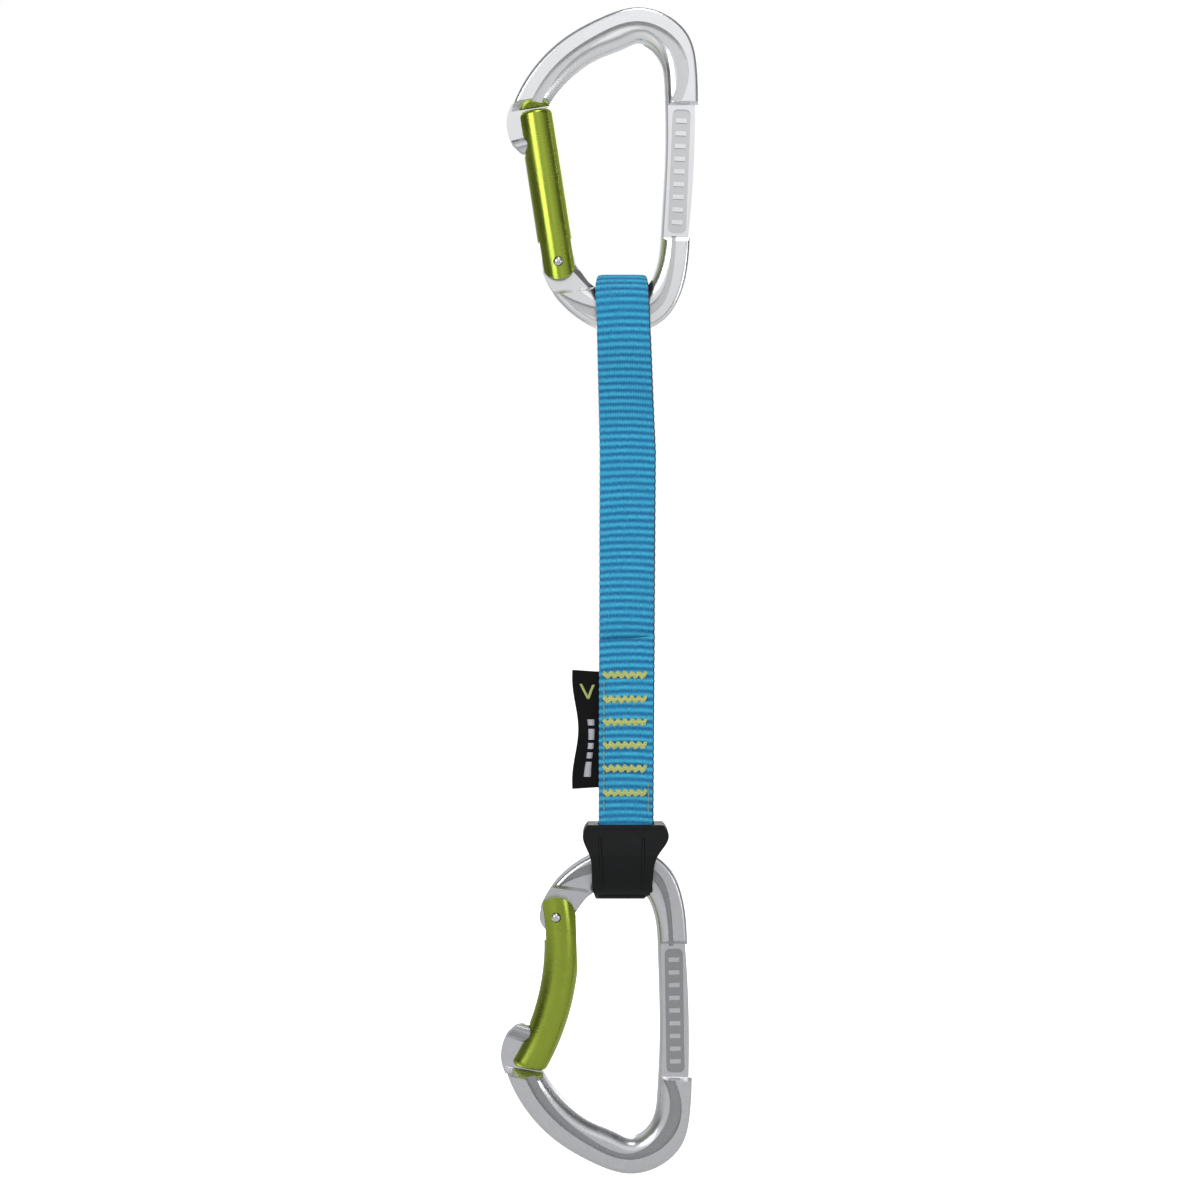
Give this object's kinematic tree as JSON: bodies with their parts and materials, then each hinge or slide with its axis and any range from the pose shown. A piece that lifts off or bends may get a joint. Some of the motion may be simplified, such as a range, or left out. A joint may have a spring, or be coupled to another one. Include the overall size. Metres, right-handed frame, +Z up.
{
  "type": "climbing quickdraw",
  "caption": "Two sprung-gate carabiners joined by a sewn flat sling, the lower one held by a rubber keeper, for clipping a rope to a bolt.",
  "frame": {"origin": "inner apex of the upper carabiner, where it hangs on a bolt hanger, at mid-thickness", "axes": "+Z up along the quickdraw, +X from the gates towards the spines, Y through the thickness"},
  "size_m": [0.0591, 0.0218, 0.3486],
  "materials": {
    "top_aluminium": "polished bright",
    "bottom_aluminium": "satin grey",
    "gate_anodised": "yellow-green anodised",
    "steel": "plain",
    "webbing": "ribbed polyamide webbing",
    "thread": "bonded thread",
    "seam_thread": "bonded thread",
    "tag": "woven",
    "keeper_rubber": "moulded, slightly glossy"
  },
  "bodies": {
    "top_carabiner": {"top_body": "top_aluminium"},
    "top_gate": {"top_gate": "gate_anodised", "top_rivet": "steel", "top_spring": "steel"},
    "top_plunger": {"top_plunger": "steel"},
    "sling": {"webbing": "webbing", "bartack_1": "thread", "bartack_2": "thread", "bartack_3": "thread", "bartack_4": "thread", "bartack_5": "thread", "bartack_6": "thread", "seam_left": "seam_thread", "seam_right": "seam_thread", "woven_tag": "tag", "keeper": "keeper_rubber"},
    "bottom_carabiner": {"bottom_body": "bottom_aluminium"},
    "bottom_gate": {"bottom_gate": "gate_anodised", "bottom_rivet": "steel", "bottom_spring": "steel"},
    "bottom_plunger": {"bottom_plunger": "steel"}
  },
  "joints": [
    {"name": "top_gate_hinge", "type": "hinge", "parent": "top_carabiner", "child": "top_gate", "pos_m": [-0.02445, 0, -0.0657], "axis": [0, 1, 0], "range_deg": [0, 32], "stiffness_Nm_per_rad": 0.3, "springref_deg": -28.65},
    {"name": "top_plunger_slide", "type": "slide", "parent": "top_gate", "child": "top_plunger", "axis": [-0.153, 0, 0.9882], "range_m": [0, 0.0014], "deforming": ["top_spring"]},
    {"name": "sling_swing", "type": "hinge", "parent": "top_carabiner", "child": "sling", "pos_m": [-0.0042, 0, -0.08], "axis": [1, 0, 0], "range_deg": [-150, 150]},
    {"name": "keeper_flex", "type": "hinge", "parent": "sling", "child": "bottom_carabiner", "pos_m": [-0.0042, 0, -0.2463], "axis": [1, 0, 0], "range_deg": [-12, 12], "stiffness_Nm_per_rad": 0.15},
    {"name": "bottom_gate_hinge", "type": "hinge", "parent": "bottom_carabiner", "child": "bottom_gate", "pos_m": [-0.02512, 0, -0.26158], "axis": [0, -1, 0], "range_deg": [0, 30], "stiffness_Nm_per_rad": 0.3, "springref_deg": -28.65},
    {"name": "bottom_plunger_slide", "type": "slide", "parent": "bottom_gate", "child": "bottom_plunger", "axis": [0.0262, 0, -0.9997], "range_m": [0, 0.0014], "deforming": ["bottom_spring"]}
  ],
  "couplings": [
    {"joint": "top_plunger_slide", "follows": "top_gate_hinge", "m_per_rad": 0.0023097},
    {"joint": "bottom_plunger_slide", "follows": "bottom_gate_hinge", "m_per_rad": 0.0024637}
  ]
}
